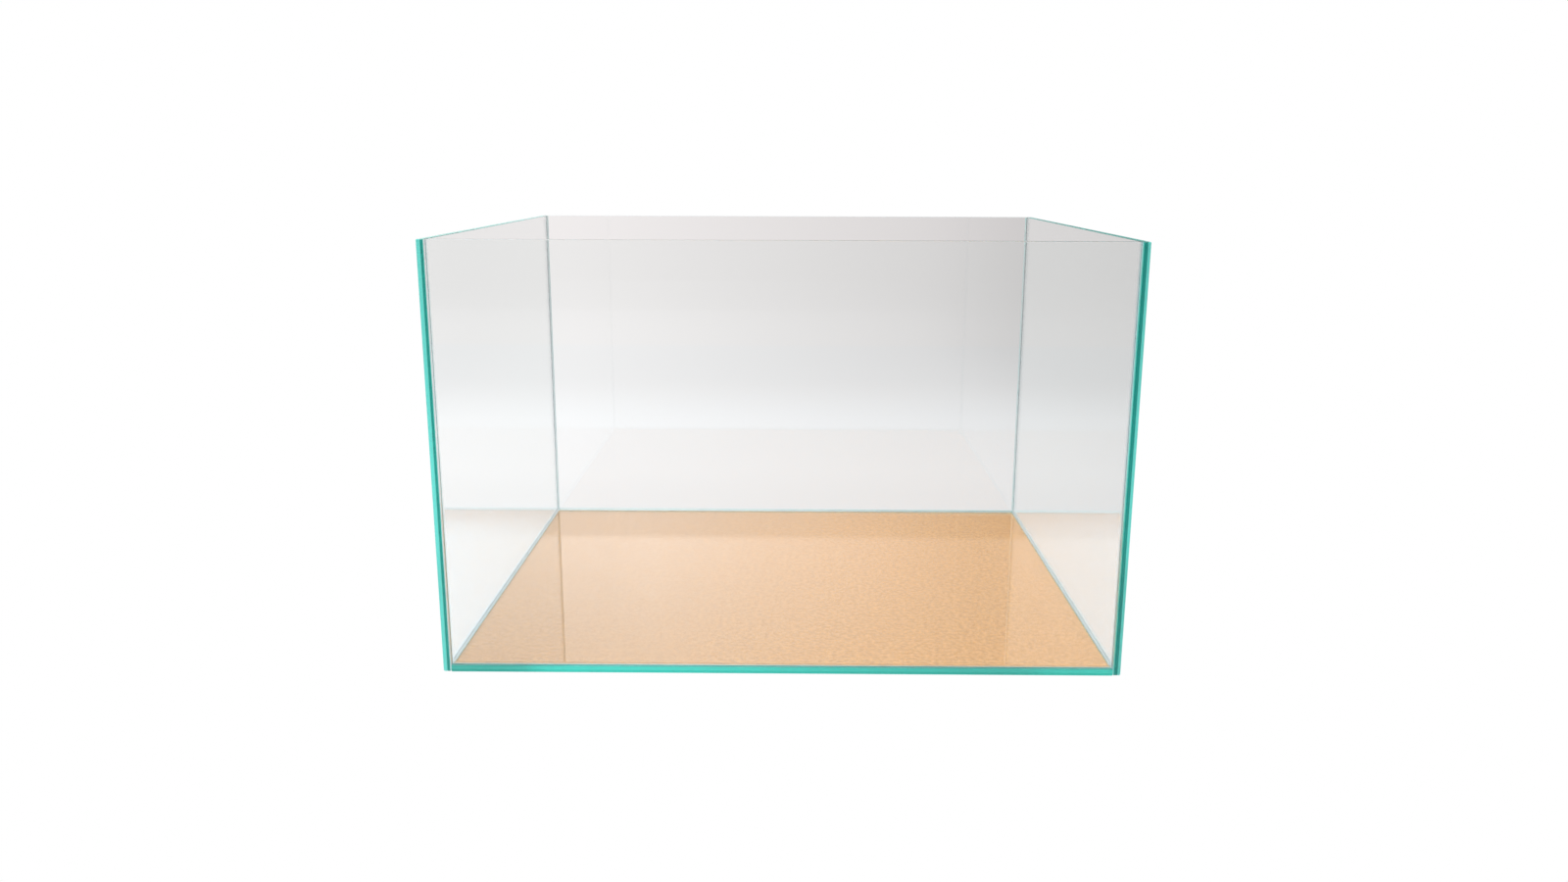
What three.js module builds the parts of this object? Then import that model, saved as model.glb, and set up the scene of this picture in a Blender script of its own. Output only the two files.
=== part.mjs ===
// A rimless glass aquarium tank: five float-glass panes bonded edge to face with clear silicone,
// with sealing beads in the inside corners and a sheet of kraft board stuck under the base glass.
// Millimetres, +Z up, the front faces -Y, and the origin is on the ground under the tank's centre.
import * as THREE from "three";

// ---- driving dimensions ----
const tankWidth = 600; // outside, along X
const tankDepth = 500; // outside, along Y
const tankHeight = 380; // ground to rim
const glassThickness = 6;
const arris = 0.4; // the small ground chamfer along every edge of a pane
const footCornerRadius = 3; // the side panes' lower corners are rounded off
const rimCornerRadius = 1; // their upper corners are only dubbed
const cornerSegments = 6;
const bondThickness = 1; // the structural silicone beside a side pane
const footBondThickness = 0.25; // the thinner bond that the front and back panes stand on
const beadLeg = 2.5; // how far a sealing bead reaches along each pane
const beadToe = 0.25; // the bead's thickness where it runs out
const beadGap = 0.3; // clearance between the ends of beads that meet in a corner
const beadSegments = 8;
const sheetThickness = 0.5;
const sheetMargin = 3; // how far the sheet stops short of the base glass's front and back edges

// ---- derived dimensions ----
const halfWidth = tankWidth / 2;
const halfDepth = tankDepth / 2;
const innerHalfWidth = halfWidth - glassThickness;
const innerHalfDepth = halfDepth - glassThickness;
const betweenSides = 2 * (innerHalfWidth - bondThickness); // the width of the base, front and back panes
const baseTop = sheetThickness + glassThickness;
const endPaneBottom = baseTop + footBondThickness;
const endPaneHeight = tankHeight - endPaneBottom;
const edgeFlat = glassThickness - 2 * arris; // the flat part of a pane's edge, which the silicone grips
const edgeCentreY = halfDepth - glassThickness / 2;
const bondCentreX = innerHalfWidth - bondThickness / 2;
const quarterTurn = Math.PI / 2;

// ---- materials ----

function clearGlass() {
  return new THREE.MeshStandardMaterial({
    color: 0xbfe3dd,
    roughness: 0.03,
    metalness: 0,
    transparent: true,
    opacity: 0.35,
  });
}

function clearSilicone() {
  return new THREE.MeshStandardMaterial({ color: 0xdfe6e4, roughness: 0.35, metalness: 0 });
}

function kraftBoard() {
  return new THREE.MeshStandardMaterial({ color: 0xe2be96, roughness: 0.9, metalness: 0 });
}

// ---- shapes ----

// A width x height outline centred on the origin, with its two lower and two upper corners rounded.
// A radius of zero leaves a sharp corner.
function paneOutline(width, height, lowerRadius, upperRadius) {
  const w = width / 2;
  const h = height / 2;
  const outline = new THREE.Shape();
  const corner = (x, y, radius, startAngle) => {
    if (radius === 0) outline.lineTo(x, y);
    else outline.absarc(x, y, radius, startAngle, startAngle + quarterTurn, false);
  };
  outline.moveTo(0, -h);
  corner(w - lowerRadius, -h + lowerRadius, lowerRadius, -quarterTurn);
  corner(w - upperRadius, h - upperRadius, upperRadius, 0);
  corner(-w + upperRadius, h - upperRadius, upperRadius, quarterTurn);
  corner(-w + lowerRadius, -h + lowerRadius, lowerRadius, 2 * quarterTurn);
  return outline;
}

// A pane of glass lying in XY and centred on the origin, with an arris round both of its faces.
function paneGeometry(width, height, lowerRadius = 0, upperRadius = 0) {
  const geometry = new THREE.ExtrudeGeometry(paneOutline(width, height, lowerRadius, upperRadius), {
    depth: glassThickness - 2 * arris,
    bevelEnabled: true,
    bevelThickness: arris,
    bevelSize: arris,
    bevelOffset: -arris,
    bevelSegments: 1,
    curveSegments: cornerSegments,
  });
  return geometry.translate(0, 0, -edgeFlat / 2);
}

// The bead's section: two legs along +X and +Y from the inside corner, joined by a concave arc.
function beadSection() {
  const section = new THREE.Shape();
  section.moveTo(0, 0);
  section.lineTo(beadLeg, 0);
  section.lineTo(beadLeg, beadToe);
  section.absarc(beadLeg, beadLeg, beadLeg - beadToe, 3 * quarterTurn, 2 * quarterTurn, true);
  section.lineTo(0, beadLeg);
  return section;
}

function beadGeometry(length) {
  return new THREE.ExtrudeGeometry(beadSection(), {
    depth: length,
    bevelEnabled: false,
    curveSegments: beadSegments,
  });
}

// A bead along the floor, centred on Z. Each end is cut at 45 degrees, to meet the next bead:
// the farther a point is from the pane, along X, the shorter the bead is there.
function mitredBeadGeometry(length) {
  const geometry = beadGeometry(1).translate(0, 0, -0.5);
  const points = geometry.getAttribute("position");
  for (let i = 0; i < points.count; i++) {
    const halfLength = length / 2 - points.getX(i) - beadGap / 2;
    points.setZ(i, Math.sign(points.getZ(i)) * halfLength);
  }
  geometry.computeVertexNormals();
  return geometry;
}

// ---- assembly ----

const tank = new THREE.Group();

function addPiece(name, geometry, material, parent = tank) {
  const piece = new THREE.Mesh(geometry, material);
  piece.name = name;
  parent.add(piece);
  return piece;
}

// The side panes run the tank's full depth and stand on the ground.
function addSidePane(name, side) {
  const shape = paneGeometry(tankDepth, tankHeight, footCornerRadius, rimCornerRadius);
  const pane = addPiece(name, shape, clearGlass());
  pane.rotation.set(quarterTurn, 0, quarterTurn, "ZYX"); // stood upright, then turned to face +X
  pane.position.set(side * (halfWidth - glassThickness / 2), 0, tankHeight / 2);
}

// The front and back panes stand on the base glass, between the side panes.
function addEndPane(name, end) {
  const pane = addPiece(name, paneGeometry(betweenSides, endPaneHeight), clearGlass());
  pane.rotation.x = quarterTurn;
  pane.position.set(0, end * edgeCentreY, endPaneBottom + endPaneHeight / 2);
}

// The base glass lies between the side panes, so its own edge shows at the front and the back.
function addBasePane() {
  const pane = addPiece("base_glass", paneGeometry(betweenSides, tankDepth), clearGlass());
  pane.position.z = sheetThickness + glassThickness / 2;
}

// The upright bond between an end pane's edge and a side pane's face.
function addCornerBond(name, side, end) {
  const bottom = baseTop - arris;
  const height = tankHeight - arris - bottom;
  const bond = addPiece(name, new THREE.BoxGeometry(bondThickness, edgeFlat, height), clearSilicone());
  bond.position.set(side * bondCentreX, end * edgeCentreY, bottom + height / 2);
}

// The bond between the base glass's edge and a side pane's face.
function addBaseSideBond(name, side) {
  const shape = new THREE.BoxGeometry(bondThickness, tankDepth - 2 * arris, edgeFlat);
  const bond = addPiece(name, shape, clearSilicone());
  bond.position.set(side * bondCentreX, 0, sheetThickness + glassThickness / 2);
}

// The bond that an end pane stands on.
function addFootBond(name, end) {
  const shape = new THREE.BoxGeometry(betweenSides, edgeFlat, footBondThickness);
  const bond = addPiece(name, shape, clearSilicone());
  bond.position.set(0, end * edgeCentreY, baseTop + footBondThickness / 2);
}

// The sealing bead up an inside corner, from the floor beads to just under the rim.
// Its section's legs start along +X and +Y, and a quarter turn at a time brings them to each corner.
function addCornerBead(name, side, end, quarterTurns) {
  const bottom = baseTop + beadLeg + beadGap;
  const bead = addPiece(name, beadGeometry(tankHeight - arris - bottom), clearSilicone());
  bead.rotation.z = quarterTurns * quarterTurn;
  bead.position.set(side * innerHalfWidth, end * innerHalfDepth, bottom);
}

// The sealing bead along the floor, at the foot of one pane.
// Its section stands up on the floor, and the turn about Z faces it away from that pane.
function addFloorBead(name, x, y, length, quarterTurns) {
  const holder = new THREE.Group();
  holder.position.set(x, y, baseTop);
  holder.rotation.z = quarterTurns * quarterTurn;
  tank.add(holder);
  const bead = addPiece(name, mitredBeadGeometry(length), clearSilicone(), holder);
  bead.rotation.x = quarterTurn;
}

function addKraftSheet() {
  const depth = tankDepth - 2 * sheetMargin;
  const shape = new THREE.BoxGeometry(betweenSides, depth, sheetThickness);
  const sheet = addPiece("kraft_sheet", shape, kraftBoard());
  sheet.position.z = sheetThickness / 2;
}

addBasePane();
addSidePane("left_glass", -1);
addSidePane("right_glass", 1);
addEndPane("front_glass", -1);
addEndPane("back_glass", 1);

addCornerBond("bond_front_left", -1, -1);
addCornerBond("bond_front_right", 1, -1);
addCornerBond("bond_back_left", -1, 1);
addCornerBond("bond_back_right", 1, 1);
addBaseSideBond("bond_base_left", -1);
addBaseSideBond("bond_base_right", 1);
addFootBond("bond_front_foot", -1);
addFootBond("bond_back_foot", 1);

addCornerBead("bead_front_left", -1, -1, 0);
addCornerBead("bead_front_right", 1, -1, 1);
addCornerBead("bead_back_right", 1, 1, 2);
addCornerBead("bead_back_left", -1, 1, 3);
addFloorBead("bead_floor_left", -innerHalfWidth, 0, 2 * innerHalfDepth, 0);
addFloorBead("bead_floor_front", 0, -innerHalfDepth, 2 * innerHalfWidth, 1);
addFloorBead("bead_floor_right", innerHalfWidth, 0, 2 * innerHalfDepth, 2);
addFloorBead("bead_floor_back", 0, innerHalfDepth, 2 * innerHalfWidth, 3);

addKraftSheet();

export default tank;
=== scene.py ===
"""A rimless glass aquarium tank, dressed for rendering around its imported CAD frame."""

import math

import bmesh
import bpy
from mathutils import Euler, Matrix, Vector


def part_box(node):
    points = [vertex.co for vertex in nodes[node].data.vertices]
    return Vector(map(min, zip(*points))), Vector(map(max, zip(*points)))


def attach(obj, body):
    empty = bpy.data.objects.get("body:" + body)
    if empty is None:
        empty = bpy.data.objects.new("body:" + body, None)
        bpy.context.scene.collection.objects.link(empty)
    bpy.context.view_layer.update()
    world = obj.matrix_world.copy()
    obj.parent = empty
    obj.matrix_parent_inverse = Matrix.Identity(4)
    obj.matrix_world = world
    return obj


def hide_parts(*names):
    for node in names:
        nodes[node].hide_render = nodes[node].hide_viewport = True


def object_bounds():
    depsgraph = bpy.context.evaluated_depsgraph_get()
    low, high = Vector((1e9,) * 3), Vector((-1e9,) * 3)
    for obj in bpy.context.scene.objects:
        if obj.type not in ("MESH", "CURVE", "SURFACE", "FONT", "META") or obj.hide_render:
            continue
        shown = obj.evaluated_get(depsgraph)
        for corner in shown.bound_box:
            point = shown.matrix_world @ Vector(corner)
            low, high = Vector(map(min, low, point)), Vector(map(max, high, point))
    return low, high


MM = 0.001
X, Y, Z = 0, 1, 2

# ---- camera ----
CAMERA_IN_FRONT = 0.9753  # from the front glass to the camera
CAMERA_ABOVE_RIM = 0.0574
CAMERA_SIDE = 0.0088  # to the right of the tank's middle
CAMERA_DOWN = math.radians(12.99)
CAMERA_LEFT = math.radians(0.42)
CAMERA_ROLL = math.radians(0.2)
CAMERA_LENS = 27.14  # in millimetres, like SENSOR_WIDTH
SENSOR_WIDTH = 36.0
CAMERA_NEAREST = 0.01

# ---- glass ----
GLASS_IOR = 1.52
GLASS_ABSORPTION = (3.2, 0.25, 0.45)  # per metre of glass, for red, green and blue
FACE_TINT = (0.995, 1.0, 0.998)
SIDE_EDGE = (0.80, 0.98, 0.96)
SIDE_EDGE_PAINTED_SHADE = (0.0, 0.16, 0.14)  # painted shade on the inner part of a side pane's front edge
BASE_EDGE = (0.30, 0.80, 0.73)
BASE_EDGE_PAINTED_SHADE = (0.06, 0.60, 0.52)  # painted shade on the lower part of the base's front edge
FRONT_EDGE = (0.22, 0.38, 0.42)  # the front and back panes' edges are smeared with silicone; the front's darker grey-blue is also a painted dark reflection of the bond
BACK_EDGE = (0.62, 0.70, 0.72)
SIDE_ARRIS = (0.45, 0.80, 0.76)
END_ARRIS = (0.80, 0.86, 0.86)
SHADED_SHARE = 0.4  # the share of a front edge that has painted shade
RIGHT_SHADED_SHARE = 0.55
EDGE_BLEND = 0.08  # and the share over which the painted shade turns to bright
EDGE_ROUGHNESS = 0.28
ARRIS_ROUGHNESS = 0.45
WETTED_IOR = 1.001  # light crosses straight from glass into silicone that wets it
FLAT = 0.9  # a normal's share along an axis, above which the surface lies across that axis
STEEP = 0.35  # and below which it lies along it
FACING = 0.5  # and above which it counts as facing that way

# ---- silicone ----
BEAD_IOR = 1.12  # low, because silicone wets the glass and light crosses almost straight
BOND_IOR = 1.03
SILICONE_ROUGHNESS = 0.28
HAZE_SCALE = 90.0
HAZE_DETAIL = 3.0
HAZE_STOPS = [(0.35, (0.88, 0.92, 0.93)), (0.65, (0.95, 0.97, 0.97))]
BEAD_TOE = 0.2 * MM
BEAD_STEPS = 10
MENISCUS = 0.3 * MM  # how far a bond's open sides curve in between the panes
MENISCUS_STEPS = 6
MENISCUS_WAVES = ((17, 0, 0.3), (41, 1, 0.2))  # waves: rate, share of the phase, strength
BOND_SLICES = 40

# ---- kraft sheet ----
KRAFT_STOPS = [(0.4, (0.65, 0.31, 0.06)), (0.6, (0.86, 0.46, 0.13))]
DRY_KRAFT_STOPS = [(0.35, (0.52, 0.33, 0.18)), (0.65, (0.62, 0.41, 0.24))]
MOTTLE_SCALE = 240.0
MOTTLE_DETAIL = 8.0
MOTTLE_ROUGHNESS = 0.65
KRAFT_ROUGHNESS = 0.85
TOOTH = 0.1 * MM  # the depth of the board's texture
TOOTH_STRENGTH = 0.25
PAINTED_SHADE_ACROSS = (-0.25, 0.15, 0.8, 1.03)  # painted shade, in fades: from, to, factor before, factor after
PAINTED_SHADE_ALONG = (-0.24, 0.24, 0.96, 1.08)
SHEET_CORNER = 1.5 * MM
SHEET_CORNER_STEPS = 5
SHEET_EDGE_STEP = 6 * MM
SHEET_WANDER = 0.25 * MM  # how far the cut edge strays from straight
SHEET_WAVES = ((31, 1, 0.3), (83, 2, 0.2))
SHEET_SETTLE = 12  # how steeply the straying sets in beside a corner
SHEET_LIP = 0.1 * MM  # the crushed rim of the cut edge

GAP = 0.05 * MM  # air between pieces that touch, so that no two surfaces coincide

# ---- studio ----
FLOOR_REACH = 3.0
FLOOR_DROP = 0.3 * MM
WALL_BEHIND = 1.5  # from the back glass to the wall
WALL_HEIGHT = 3.0
LIGHT_COLOUR = (1.06, 1.0, 1.0)  # a little warm, which the green of the glass takes out again
FLOOR_COLOUR = (1.045, 1.0, 1.01)
NEAR_COLOUR = (0.95, 1.02, 1.10)  # painted light: the cooler glow of the floor beside the tank, which the kraft sheet's glow warms again
BOUNCES = 64  # how often light may bounce on its way through the glass

# Fades in the studio: from, to, value before, value after. The room's go by a direction's X, Y or Z.
ROOM_ACROSS = (-0.5, 0.5, 1.1, 0.65)
ROOM_ALONG = (-0.3, 0.3, 0.6, 1.0)
OVERHEAD_RISE = (0.55, 0.75, 0.0, 1.0)
OVERHEAD_ACROSS = (-0.6, 0.6, 1.08, 1.04)
# The paper's, which paint light and shade into its glow, go by a place on the floor or the wall, in
# metres.
PAPER_FRONT = (-1.2, -0.3, 0.6, 1.05)
PAPER_NEAR = (0.16, 0.27, 1.07, 0.85)
PAPER_BEHIND = (0.3, 0.5, 1.0, 1.04)
PAPER_FAR = (0.7, 1.3, 1.0, 0.88)
PAPER_ACROSS = (-1.2, 1.2, 1.28, 0.68)
PAPER_FAR_LEFT = (-0.9, -0.5, 0.93, 1.0)
WALL_FOOT = (0.02, 0.15, 1.0, 0.96)
RIGHT_BEHIND = (0.3, 0.65, 1.0, 0.92)
RIGHT_BESIDE = (0.2, 0.35, 1.0, 0.9)
BESIDE_START = (-0.7, -0.35, 0.0, 1.0)  # where the floor counts as beside the tank
BESIDE_END = (0.15, 0.32, 1.0, 0.0)
BAND_START = (0.34, 0.42, 0.0, 1.0)  # painted shade: up the wall, from its foot into its dark band
BAND_ACROSS = (-0.4, 0.7, 1.0, 0.1)
BAND_END = (0.51, 0.53, 0.0, 1.0)  # and out of the band into the lit upper part
LIT_ACROSS = (-0.35, 0.5, 1.1, 0.33)
LIT_RISE = (0.5, 0.9, 1.25, 1.0)

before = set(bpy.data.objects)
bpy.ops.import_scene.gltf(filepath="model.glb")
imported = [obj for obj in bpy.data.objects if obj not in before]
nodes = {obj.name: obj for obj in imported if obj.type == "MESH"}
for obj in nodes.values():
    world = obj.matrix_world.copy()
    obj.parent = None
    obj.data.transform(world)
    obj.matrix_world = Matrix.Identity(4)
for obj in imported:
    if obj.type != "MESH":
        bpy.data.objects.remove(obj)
cad_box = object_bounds()
tank_low, tank_high = cad_box


# ---- node helpers ----


def new_tree(material):
    """Empties a material's node tree and returns it with a fresh output node."""
    material.use_nodes = True
    tree = material.node_tree
    tree.nodes.clear()
    output = tree.nodes.new("ShaderNodeOutputMaterial")
    return tree, output


def add_node(tree, kind, **settings):
    node = tree.nodes.new(kind)
    for name, value in settings.items():
        setattr(node, name, value)
    return node


def math_node(tree, operation, first, second=None):
    """A Math node whose inputs are sockets or numbers; returns its output."""
    node = add_node(tree, "ShaderNodeMath", operation=operation)
    for slot, value in zip(node.inputs, (first, second)):
        if value is None:
            continue
        if isinstance(value, (int, float)):
            slot.default_value = value
        else:
            tree.links.new(value, slot)
    return node.outputs[0]


def product(tree, *factors):
    """The product of two or more sockets."""
    result = factors[0]
    for factor in factors[1:]:
        result = math_node(tree, "MULTIPLY", result, factor)
    return result


def mix_node(tree, kind, factor, first, second):
    """A Mix node of kind FLOAT or RGBA between two sockets; returns its output."""
    node = add_node(tree, "ShaderNodeMix", data_type=kind)
    inputs = [slot for slot in node.inputs if slot.enabled]
    for slot, value in zip(inputs, (factor, first, second)):
        tree.links.new(value, slot)
    return next(slot for slot in node.outputs if slot.enabled)


def fade(tree, value, start, end, before, after, interpolation="SMOOTHSTEP"):
    """A Map Range node from before, where value is at start, to after, where it is at end."""
    node = add_node(tree, "ShaderNodeMapRange", interpolation_type=interpolation)
    tree.links.new(value, node.inputs["Value"])
    for name, number in zip(("From Min", "From Max", "To Min", "To Max"), (start, end, before, after)):
        node.inputs[name].default_value = number
    return node.outputs[0]


def ramp_node(tree, factor, stops, interpolation="LINEAR"):
    """A ColorRamp through (position, grey or colour) stops; returns its colour output."""
    node = add_node(tree, "ShaderNodeValToRGB")
    node.color_ramp.interpolation = interpolation
    elements = node.color_ramp.elements
    while len(elements) < len(stops):
        elements.new(0.5)  # placed below
    for element, (position, value) in zip(elements, stops):
        element.position = position
        colour = (value, value, value) if isinstance(value, (int, float)) else value
        element.color = (*colour, 1.0)
    tree.links.new(factor, node.inputs[0])
    return node.outputs[0]


def split_axes(tree, kind, output):
    """The X, Y and Z of one output of a fresh node, as three sockets."""
    source = add_node(tree, kind)
    split = add_node(tree, "ShaderNodeSeparateXYZ")
    tree.links.new(source.outputs[output], split.inputs[0])
    return split.outputs


def noise_node(tree, scale, detail, roughness=0.5):
    """Noise over the object's own coordinates; returns its value."""
    place = add_node(tree, "ShaderNodeTexCoord")
    noise = add_node(tree, "ShaderNodeTexNoise")
    noise.inputs["Scale"].default_value = scale
    noise.inputs["Detail"].default_value = detail
    noise.inputs["Roughness"].default_value = roughness
    tree.links.new(place.outputs["Object"], noise.inputs["Vector"])
    return noise.outputs["Fac"]


def above(tree, value, limit):
    return math_node(tree, "GREATER_THAN", value, limit)


def below(tree, value, limit):
    return math_node(tree, "LESS_THAN", value, limit)


def either(tree, first, second):
    return math_node(tree, "MAXIMUM", first, second)


def both(tree, first, second):
    return product(tree, first, second)


# ---- materials ----


def front_pane_wetting(tree, across, place):
    """Where silicone wets the front pane: on its foot and its right edge."""
    foot = both(tree, above(tree, across[Z], FLAT), below(tree, place[Z], tank_high.z / 2))
    right_edge = both(tree, above(tree, across[X], FLAT), above(tree, place[X], 0.0))
    return either(tree, foot, right_edge)


def base_wetting(tree, across, place):
    """Where silicone wets the base: in the strip of its top that the front pane stands on."""
    low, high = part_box("base_glass")
    pane_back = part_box("front_glass")[1].y
    top = both(tree, above(tree, across[Z], FLAT), above(tree, place[Z], (low.z + high.z) / 2))
    return both(tree, top, below(tree, place[Y], pane_back))


def right_pane_wetting(tree, across, place):
    """Where silicone wets the right pane: its inner face beside the front pane."""
    low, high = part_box("right_glass")
    pane_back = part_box("front_glass")[1].y
    inner = both(tree, above(tree, across[X], FLAT), below(tree, place[X], (low.x + high.x) / 2))
    return both(tree, inner, below(tree, place[Y], pane_back))


def float_glass(name, axis, shaded_at, bright_at, shaded_share, deep, bright, arris, wetting=None):
    """Clear float glass whose faces lie across one axis. Light that runs the length of a pane comes
    out turquoise, and on a front-facing edge the tint deep paints shade over that share of the edge
    which starts at shaded_at. wetting makes the mask of the places where light passes straight on into
    silicone."""
    material = bpy.data.materials.new(name)
    tree, output = new_tree(material)
    normal = split_axes(tree, "ShaderNodeNewGeometry", "True Normal")
    across = [math_node(tree, "ABSOLUTE", part) for part in normal]
    place = split_axes(tree, "ShaderNodeTexCoord", "Object")
    flatness = across[axis]
    depth = math_node(tree, "ABSOLUTE", place[axis])
    # painted shade: the tint deep darkens the inner share of a front-facing edge, or the base's lower
    # share
    brightness = fade(tree, depth, shaded_at, bright_at, 0.0, 1.0, "LINEAR")
    front = both(tree, above(tree, across[Y], FACING), below(tree, place[Y], 0.0))
    brightness = either(tree, brightness, math_node(tree, "SUBTRACT", 1.0, front))
    edge = ramp_node(tree, brightness, [(shaded_share, deep), (shaded_share + EDGE_BLEND, bright)])
    bevel = ramp_node(tree, flatness, [(0.0, arris), (FLAT, FACE_TINT)], "CONSTANT")
    tint = mix_node(tree, "RGBA", below(tree, flatness, STEEP), bevel, edge)
    roughness = ramp_node(
        tree, flatness, [(0.0, EDGE_ROUGHNESS), (STEEP, ARRIS_ROUGHNESS), (FLAT, 0.0)], "CONSTANT"
    )
    shader = add_node(tree, "ShaderNodeBsdfPrincipled")
    tree.links.new(tint, shader.inputs["Base Color"])
    tree.links.new(roughness, shader.inputs["Roughness"])
    shader.inputs["IOR"].default_value = GLASS_IOR
    if wetting:
        wet = wetting(tree, across, place)
        ior = fade(tree, wet, 0.0, 1.0, GLASS_IOR, WETTED_IOR, "LINEAR")
        tree.links.new(ior, shader.inputs["IOR"])
    shader.inputs["Transmission Weight"].default_value = 1.0
    tree.links.new(shader.outputs[0], output.inputs["Surface"])
    density = max(GLASS_ABSORPTION)
    absorption = add_node(tree, "ShaderNodeVolumeAbsorption")
    absorption.inputs["Color"].default_value = (*(1 - a / density for a in GLASS_ABSORPTION), 1.0)
    absorption.inputs["Density"].default_value = density
    tree.links.new(absorption.outputs[0], output.inputs["Volume"])
    return material


def clear_silicone(name, ior):
    """Clear silicone with a faint haze of stirred-in air that varies along the joint."""
    material = bpy.data.materials.new(name)
    tree, output = new_tree(material)
    tone = ramp_node(tree, noise_node(tree, HAZE_SCALE, HAZE_DETAIL), HAZE_STOPS)
    shader = add_node(tree, "ShaderNodeBsdfPrincipled")
    tree.links.new(tone, shader.inputs["Base Color"])
    shader.inputs["Roughness"].default_value = SILICONE_ROUGHNESS
    shader.inputs["IOR"].default_value = ior
    shader.inputs["Transmission Weight"].default_value = 1.0
    tree.links.new(shader.outputs[0], output.inputs["Surface"])
    return material


def kraft_board():
    """Brown kraft board: a fine mottle of fibres with a slight tooth. Stuck to the glass its upper
    face is a deeper brown than its dry underside. It is also painted a little darker towards the
    front left, a painted shade which evens out the studio's light from there."""
    material = bpy.data.materials.new("kraft_board")
    tree, output = new_tree(material)
    mottle = noise_node(tree, MOTTLE_SCALE, MOTTLE_DETAIL, MOTTLE_ROUGHNESS)
    place = split_axes(tree, "ShaderNodeTexCoord", "Object")
    # painted shade: darker towards the front left
    painted_shade = product(tree, fade(tree, place[X], *PAINTED_SHADE_ACROSS), fade(tree, place[Y], *PAINTED_SHADE_ALONG))
    stuck = add_node(tree, "ShaderNodeVectorMath", operation="SCALE")
    tree.links.new(ramp_node(tree, mottle, KRAFT_STOPS), stuck.inputs[0])
    tree.links.new(painted_shade, stuck.inputs["Scale"])
    dry = ramp_node(tree, mottle, DRY_KRAFT_STOPS)
    normal = split_axes(tree, "ShaderNodeNewGeometry", "True Normal")
    tone = mix_node(tree, "RGBA", below(tree, normal[Z], -FACING), stuck.outputs[0], dry)
    bump = add_node(tree, "ShaderNodeBump")
    bump.inputs["Strength"].default_value = TOOTH_STRENGTH
    bump.inputs["Distance"].default_value = TOOTH
    tree.links.new(mottle, bump.inputs["Height"])
    shader = add_node(tree, "ShaderNodeBsdfPrincipled")
    tree.links.new(tone, shader.inputs["Base Color"])
    tree.links.new(bump.outputs[0], shader.inputs["Normal"])
    shader.inputs["Roughness"].default_value = KRAFT_ROUGHNESS
    tree.links.new(shader.outputs[0], output.inputs["Surface"])
    return material


def wear(obj, material):
    """Gives an object one material in place of any it has."""
    obj.data.materials.clear()
    obj.data.materials.append(material)


# ---- pieces ----


def ring_piece(node, rings, material):
    """A closed piece that stands for a CAD node, skinned over a row of rings of points."""
    mesh = bpy.data.meshes.new(node + "_look")
    shape = bmesh.new()
    made = [[shape.verts.new(point) for point in ring] for ring in rings]
    count = len(made[0])
    for ring, following in zip(made, made[1:]):
        for i in range(count):
            j = (i + 1) % count
            shape.faces.new((ring[i], ring[j], following[j], following[i]))
    shape.faces.new(made[0])
    shape.faces.new(made[-1])
    bmesh.ops.recalc_face_normals(shape, faces=shape.faces)
    shape.to_mesh(mesh)
    shape.free()
    piece = bpy.data.objects.new(node + "_look", mesh)
    bpy.context.collection.objects.link(piece)
    wear(piece, material)
    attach(piece, "root")
    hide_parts(node)


def wander(t, waves, phase):
    """The sum of some waves at t, which goes from 0 to 1 along a piece."""
    return sum(strength * math.sin(rate * t + share * phase) for rate, share, strength in waves)


def bead_section(leg):
    """A bead's outline in two axes that start in the inside corner: two legs and a concave arc."""
    points = [(0.0, 0.0), (leg, 0.0)]
    reach = leg - BEAD_TOE
    for step in range(BEAD_STEPS + 1):
        angle = math.radians(90 * step / BEAD_STEPS)
        points.append((leg - reach * math.sin(angle), leg - reach * math.cos(angle)))
    points.append((0.0, leg))
    return points


def bead_piece(node, first, first_way, second, second_way, run, material):
    """The sealing bead in an inside corner. It reaches from the corner along the axes first and
    second, the way that first_way and second_way say (+1 or -1), and runs along the axis run."""
    low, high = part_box(node)
    corner_first = (low if first_way > 0 else high)[first]
    corner_second = (low if second_way > 0 else high)[second]
    leg = high[first] - low[first] - 2 * GAP
    mitred = run != Z
    rings = []
    for end, inwards in ((low[run], 1), (high[run], -1)):
        ring = []
        for across, outwards in bead_section(leg):
            point = Vector((0, 0, 0))
            point[first] = corner_first + first_way * (GAP + across)
            point[second] = corner_second + second_way * (GAP + outwards)
            point[run] = end + inwards * (across if mitred else 0)
            ring.append(point)
        rings.append(ring)
    ring_piece(node, rings, material)


def bond_piece(node, thin, deep, run, material):
    """The structural silicone between two panes: a strip whose two open sides curve in, by an amount
    that wanders a little along it. thin, deep and run are its axes."""
    low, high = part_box(node)
    half_thin = (high[thin] - low[thin]) / 2 - GAP
    half_deep = (high[deep] - low[deep]) / 2 - GAP
    rings = []
    for slice_number in range(BOND_SLICES + 1):
        along = slice_number / BOND_SLICES
        curve = MENISCUS * (1 + wander(along, MENISCUS_WAVES, 1))
        ring = []
        for side in (1, -1):
            for step in range(MENISCUS_STEPS + 1):
                t = side * (2 * step / MENISCUS_STEPS - 1)
                point = Vector((0, 0, 0))
                point[thin] = (low[thin] + high[thin]) / 2 + t * half_thin
                point[deep] = (low[deep] + high[deep]) / 2 + side * (half_deep - curve * (1 - t * t))
                point[run] = low[run] + GAP + along * (high[run] - low[run] - 2 * GAP)
                ring.append(point)
        rings.append(ring)
    ring_piece(node, rings, material)


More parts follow.
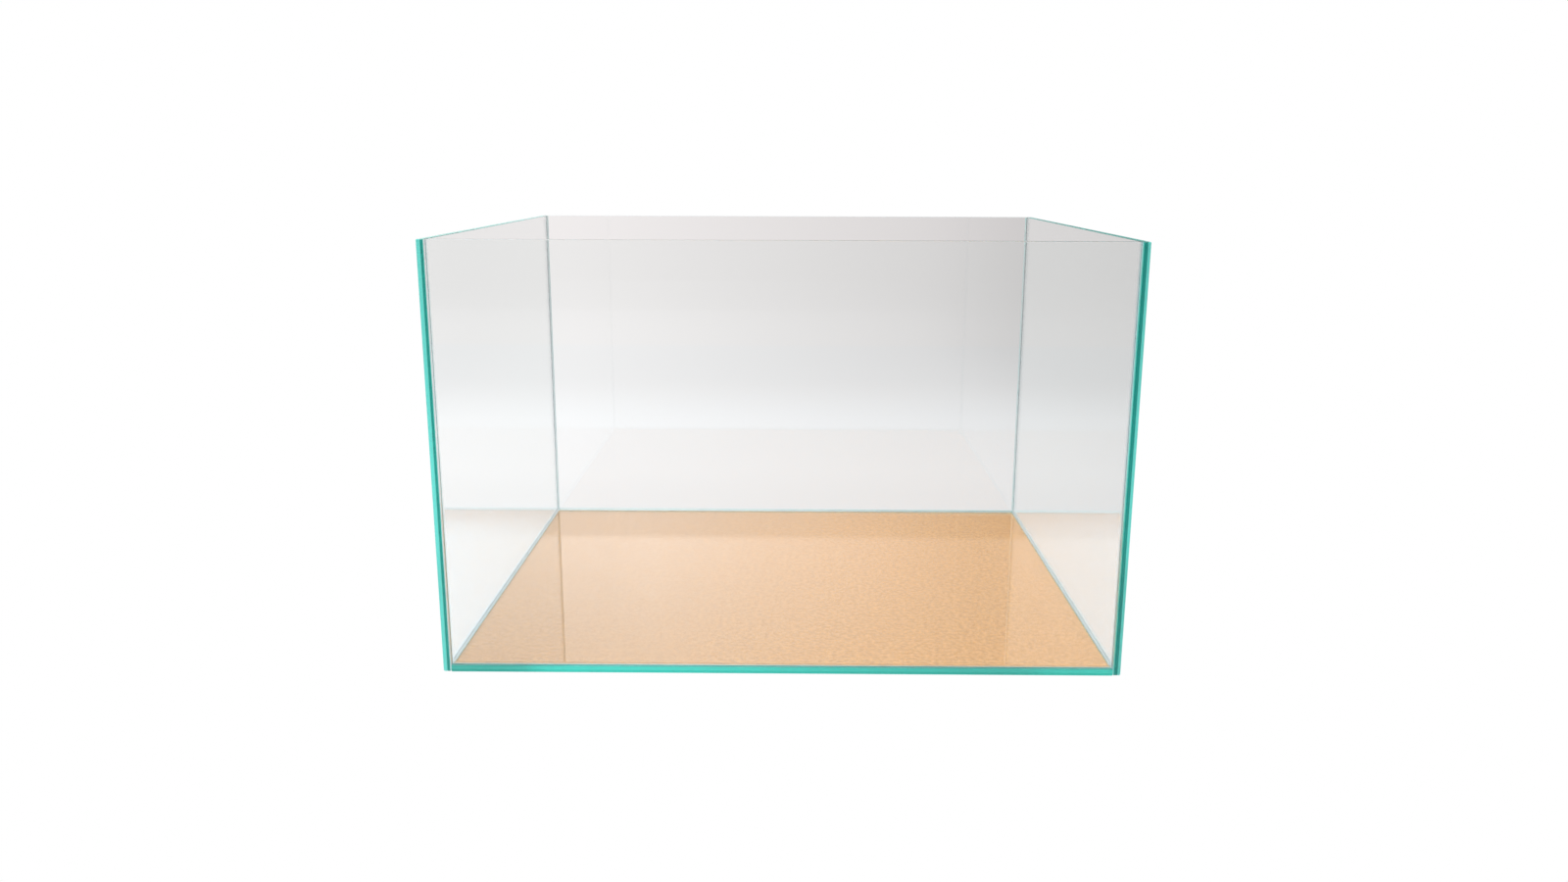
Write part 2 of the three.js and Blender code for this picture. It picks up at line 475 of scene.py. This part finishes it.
def sheet_side(begin, end, inwards, phase):
    """The points of one cut side between its two rounded corners, straying a little inwards."""
    points = []
    pieces = int((end - begin).length / SHEET_EDGE_STEP)
    for step in range(1, pieces):
        t = step / pieces
        stray = 0.5 + wander(t, SHEET_WAVES, phase)
        settle = min(1.0, SHEET_SETTLE * t, SHEET_SETTLE * (1 - t))
        points.append(begin.lerp(end, t) + inwards * SHEET_WANDER * stray * settle)
    return points


def sheet_outline(low, high, inset, level):
    """The sheet's outline at one level: four rounded corners joined by hand-cut sides."""
    radius = SHEET_CORNER
    corners = []
    for x, y, start in (
        (high.x - radius, low.y + radius, -90),
        (high.x - radius, high.y - radius, 0),
        (low.x + radius, high.y - radius, 90),
        (low.x + radius, low.y + radius, 180),
    ):
        corner = []
        for step in range(SHEET_CORNER_STEPS + 1):
            angle = math.radians(start + 90 * step / SHEET_CORNER_STEPS)
            outwards = Vector((math.cos(angle), math.sin(angle), 0))
            corner.append(Vector((x, y, level)) + outwards * (radius - inset))
        corners.append(corner)
    points = []
    for number, corner in enumerate(corners):
        following = corners[(number + 1) % 4]
        angle = math.radians(90 * number)
        inwards = -Vector((math.cos(angle), math.sin(angle), 0))
        points += corner + sheet_side(corner[-1], following[0], inwards, number)
    return points


def sheet_piece(node, material):
    """The kraft sheet: a cut board whose rim is a little crushed along its upper and lower edge."""
    low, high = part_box(node)
    levels = [
        (low.z + GAP, SHEET_LIP),
        (low.z + SHEET_LIP, 0.0),
        (high.z - SHEET_LIP, 0.0),
        (high.z - GAP, SHEET_LIP),
    ]
    rings = [sheet_outline(low, high, inset, level) for level, inset in levels]
    ring_piece(node, rings, material)


def dress_glass():
    """The panes keep their CAD meshes. Painted shade darkens an edge in its inner part, or on the base,
    below.
    Opposite panes mirror each other, so the right pane's box serves the left and the back's the front."""
    low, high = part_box("base_glass")
    base = (Z, low.z, high.z, SHADED_SHARE, BASE_EDGE_PAINTED_SHADE, BASE_EDGE, SIDE_ARRIS, base_wetting)
    wear(nodes["base_glass"], float_glass("base_clear", *base))
    low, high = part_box("right_glass")
    colours = (SIDE_EDGE_PAINTED_SHADE, SIDE_EDGE, SIDE_ARRIS)
    left = float_glass("left_clear", X, low.x, high.x, SHADED_SHARE, *colours)
    right = float_glass("right_clear", X, low.x, high.x, RIGHT_SHADED_SHARE, *colours, right_pane_wetting)
    wear(nodes["left_glass"], left)
    wear(nodes["right_glass"], right)
    low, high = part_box("back_glass")
    for end, edge, wetting in (("front", FRONT_EDGE, front_pane_wetting), ("back", BACK_EDGE, None)):
        pane = float_glass(end + "_clear", Y, low.y, high.y, SHADED_SHARE, edge, edge, END_ARRIS, wetting)
        wear(nodes[end + "_glass"], pane)


def dress_bonds(silicone):
    for corner in ("front_left", "front_right", "back_left", "back_right"):
        bond_piece("bond_" + corner, X, Y, Z, silicone)
    for side in ("left", "right"):
        bond_piece("bond_base_" + side, X, Z, Y, silicone)
    for end in ("front", "back"):
        bond_piece("bond_" + end + "_foot", Z, Y, X, silicone)


def dress_beads(silicone):
    for side, side_way in (("left", 1), ("right", -1)):
        for end, end_way in (("front", 1), ("back", -1)):
            bead_piece("bead_" + end + "_" + side, X, side_way, Y, end_way, Z, silicone)
        bead_piece("bead_floor_" + side, X, side_way, Z, 1, Y, silicone)
    for end, end_way in (("front", 1), ("back", -1)):
        bead_piece("bead_floor_" + end, Y, end_way, Z, 1, X, silicone)


# ---- studio ----


def build_world():
    """Plain white to the camera. Everything else is lit by a soft grey room, brighter to the left
    than to the right and dimmer behind the camera, with a broad light overhead."""
    world = bpy.data.worlds.new("studio")
    bpy.context.scene.world = world
    world.use_nodes = True
    tree = world.node_tree
    tree.nodes.clear()
    output = add_node(tree, "ShaderNodeOutputWorld")
    across, along, up = split_axes(tree, "ShaderNodeTexCoord", "Generated")
    room = product(tree, fade(tree, across, *ROOM_ACROSS, "LINEAR"), fade(tree, along, *ROOM_ALONG))
    overhead = product(tree, fade(tree, up, *OVERHEAD_RISE), fade(tree, across, *OVERHEAD_ACROSS))
    light = math_node(tree, "ADD", room, overhead)
    studio = add_node(tree, "ShaderNodeBackground")
    studio.inputs["Color"].default_value = (*LIGHT_COLOUR, 1)
    tree.links.new(light, studio.inputs["Strength"])
    plain = add_node(tree, "ShaderNodeBackground")
    plain.inputs["Color"].default_value = (1, 1, 1, 1)
    path = add_node(tree, "ShaderNodeLightPath")
    choose = add_node(tree, "ShaderNodeMixShader")
    tree.links.new(path.outputs["Is Camera Ray"], choose.inputs[0])
    tree.links.new(studio.outputs[0], choose.inputs[1])
    tree.links.new(plain.outputs[0], choose.inputs[2])
    tree.links.new(choose.outputs[0], output.inputs["Surface"])


def glowing_paper():
    """White paper that glows with painted light and shade: the floor is brightest beside the tank and
    dimmer in front of it, the wall has a dark band between its foot and its lit upper part, and all falls
    off to the right."""
    material = bpy.data.materials.new("glowing_paper")
    tree, output = new_tree(material)
    x, y, z = split_axes(tree, "ShaderNodeTexCoord", "Object")
    light = add_node(tree, "ShaderNodeRGB").outputs[0]
    light.default_value = (*LIGHT_COLOUR, 1)
    # painted light and shade in the paper's glow
    beside = product(tree, fade(tree, y, *BESIDE_START), fade(tree, y, *BESIDE_END))
    along = [fade(tree, y, *part) for part in (PAPER_FRONT, PAPER_NEAR, PAPER_BEHIND, PAPER_FAR)]
    across = fade(tree, x, *PAPER_ACROSS, "LINEAR")
    rise = fade(tree, z, *WALL_FOOT)
    left = fade(tree, x, *PAPER_FAR_LEFT)
    right = mix_node(tree, "FLOAT", beside, fade(tree, x, *RIGHT_BEHIND), fade(tree, x, *RIGHT_BESIDE))
    foot = product(tree, *along, across, rise, left, right)
    band = fade(tree, x, *BAND_ACROSS, "LINEAR")
    lit = product(tree, fade(tree, x, *LIT_ACROSS, "LINEAR"), fade(tree, z, *LIT_RISE))
    lower = mix_node(tree, "FLOAT", fade(tree, z, *BAND_START), foot, band)
    level = mix_node(tree, "FLOAT", fade(tree, z, *BAND_END), lower, lit)
    floor = ramp_node(tree, beside, [(0.0, FLOOR_COLOUR), (1.0, NEAR_COLOUR)])
    colour = mix_node(tree, "RGBA", above(tree, z, 0.0), floor, light)
    glow = add_node(tree, "ShaderNodeEmission")
    tree.links.new(colour, glow.inputs["Color"])
    tree.links.new(level, glow.inputs["Strength"])
    tree.links.new(glow.outputs[0], output.inputs["Surface"])
    material.cycles.emission_sampling = "NONE"
    return material


def build_paper():
    """A floor and a wall of white paper. The camera sees the plain white world in their place, so
    they only show in and through the glass."""
    back = tank_high.y + WALL_BEHIND
    floor = tank_low.z - FLOOR_DROP
    corners = [
        (-FLOOR_REACH, -FLOOR_REACH, floor),
        (FLOOR_REACH, -FLOOR_REACH, floor),
        (FLOOR_REACH, back, floor),
        (-FLOOR_REACH, back, floor),
        (FLOOR_REACH, back, floor + WALL_HEIGHT),
        (-FLOOR_REACH, back, floor + WALL_HEIGHT),
    ]
    mesh = bpy.data.meshes.new("paper")
    mesh.from_pydata(corners, [], [(0, 1, 2, 3), (3, 2, 4, 5)])
    paper = bpy.data.objects.new("paper", mesh)
    bpy.context.collection.objects.link(paper)
    wear(paper, glowing_paper())
    paper.visible_camera = False


def build_camera():
    data = bpy.data.cameras.new("camera")
    data.sensor_width = SENSOR_WIDTH
    data.lens = CAMERA_LENS
    data.clip_start = CAMERA_NEAREST
    camera = bpy.data.objects.new("camera", data)
    camera.location = (CAMERA_SIDE, tank_low.y - CAMERA_IN_FRONT, tank_high.z + CAMERA_ABOVE_RIM)
    look = Euler((math.pi / 2 - CAMERA_DOWN, 0, CAMERA_LEFT)).to_matrix()
    roll = Euler((0, 0, CAMERA_ROLL)).to_matrix()
    camera.rotation_euler = (look @ roll).to_euler()
    bpy.context.collection.objects.link(camera)
    bpy.context.scene.camera = camera


def set_light_transport():
    """Light has to bounce many times inside a pane before it leaves by an edge, and the glass has to
    stay sharp for the light that reaches the kraft sheet, or the sheet goes dark."""
    scene = bpy.context.scene
    scene.view_settings.view_transform = "Standard"
    scene.cycles.max_bounces = BOUNCES
    scene.cycles.transmission_bounces = BOUNCES
    scene.cycles.glossy_bounces = BOUNCES
    scene.cycles.blur_glossy = 0.0


dress_glass()
dress_bonds(clear_silicone("bond_silicone", BOND_IOR))
dress_beads(clear_silicone("bead_silicone", BEAD_IOR))
sheet_piece("kraft_sheet", kraft_board())
build_world()
build_paper()
build_camera()
set_light_transport()
